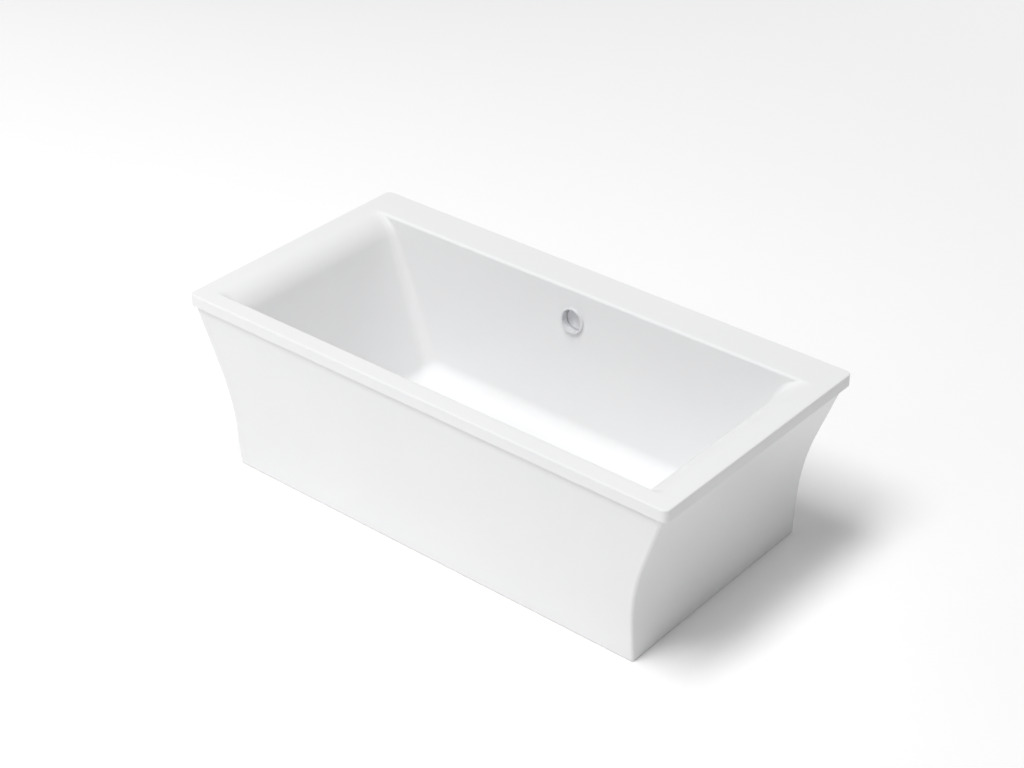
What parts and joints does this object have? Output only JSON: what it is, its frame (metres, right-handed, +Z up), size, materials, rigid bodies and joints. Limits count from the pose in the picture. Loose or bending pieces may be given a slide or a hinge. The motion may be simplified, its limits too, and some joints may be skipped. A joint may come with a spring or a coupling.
{
  "type": "freestanding bathtub",
  "caption": "Freestanding rectangular soaking bath: flat rim, deep basin with two sloped backrests, flared one-piece shroud, levelling feet, toe-touch drain and side overflow.",
  "frame": {"origin": "on the floor, under the centre of the rim", "axes": "+X along the bath, +Y towards the wide deck over the overflow wall, +Z up"},
  "size_m": [1.829, 0.914, 0.6],
  "materials": {
    "acrylic": "high-gloss white cast acrylic",
    "chrome": "polished chrome plate",
    "rubber": "matt black rubber",
    "pipe": "off-white PVC",
    "board": "sealed plywood",
    "steel": "zinc-plated steel",
    "brass": "turned brass",
    "plastic": "black moulded nylon",
    "sealant": "white adhesive sealant"
  },
  "bodies": {
    "bath": {"basin": "acrylic", "shroud": "acrylic", "batten_front": "board", "batten_rear": "board", "batten_left": "board", "batten_right": "board", "rim_bond_bead": "sealant", "base_board": "board", "bearer_left": "steel", "bearer_centre": "steel", "bearer_right": "steel", "bearer_screw_left_front": "steel", "foot_locknut_left_front": "steel", "shroud_bracket_left_front": "steel", "bearer_screw_left_rear": "steel", "foot_locknut_left_rear": "steel", "shroud_bracket_left_rear": "steel", "bearer_screw_centre_front": "steel", "foot_locknut_centre_front": "steel", "bearer_screw_centre_rear": "steel", "foot_locknut_centre_rear": "steel", "bearer_screw_right_front": "steel", "foot_locknut_right_front": "steel", "shroud_bracket_right_front": "steel", "bearer_screw_right_rear": "steel", "foot_locknut_right_rear": "steel", "shroud_bracket_right_rear": "steel", "overflow_ring": "chrome", "overflow_disc": "chrome", "overflow_gasket": "rubber", "overflow_elbow": "pipe", "overflow_pipe": "pipe", "waste_tee": "pipe", "shoe_pipe": "pipe", "drain_shoe": "pipe", "slip_nut_elbow": "plastic", "slip_nut_tee_top": "plastic", "slip_nut_tee_side": "plastic", "slip_nut_shoe": "plastic", "drain_gasket": "rubber", "drain_flange": "chrome", "stopper_post": "brass", "stopper_spring": "steel"},
    "stopper": {"stopper_cap": "chrome", "stopper_seal": "rubber"},
    "foot_left_front": {"foot_pad_left_front": "plastic", "foot_stud_left_front": "steel"},
    "foot_left_rear": {"foot_pad_left_rear": "plastic", "foot_stud_left_rear": "steel"},
    "foot_centre_front": {"foot_pad_centre_front": "plastic", "foot_stud_centre_front": "steel"},
    "foot_centre_rear": {"foot_pad_centre_rear": "plastic", "foot_stud_centre_rear": "steel"},
    "foot_right_front": {"foot_pad_right_front": "plastic", "foot_stud_right_front": "steel"},
    "foot_right_rear": {"foot_pad_right_rear": "plastic", "foot_stud_right_rear": "steel"}
  },
  "joints": [
    {"name": "stopper_lift", "type": "slide", "parent": "bath", "child": "stopper", "axis": [0, 0, 1], "range_m": [0, 0.008], "deforming": ["stopper_spring"]},
    {"name": "foot_height_left_front", "type": "slide", "parent": "bath", "child": "foot_left_front", "axis": [0, 0, -1], "range_m": [-0.0015, 0.012]},
    {"name": "foot_height_left_rear", "type": "slide", "parent": "bath", "child": "foot_left_rear", "axis": [0, 0, -1], "range_m": [-0.0015, 0.012]},
    {"name": "foot_height_centre_front", "type": "slide", "parent": "bath", "child": "foot_centre_front", "axis": [0, 0, -1], "range_m": [-0.0015, 0.012]},
    {"name": "foot_height_centre_rear", "type": "slide", "parent": "bath", "child": "foot_centre_rear", "axis": [0, 0, -1], "range_m": [-0.0015, 0.012]},
    {"name": "foot_height_right_front", "type": "slide", "parent": "bath", "child": "foot_right_front", "axis": [0, 0, -1], "range_m": [-0.0015, 0.012]},
    {"name": "foot_height_right_rear", "type": "slide", "parent": "bath", "child": "foot_right_rear", "axis": [0, 0, -1], "range_m": [-0.0015, 0.012]}
  ]
}
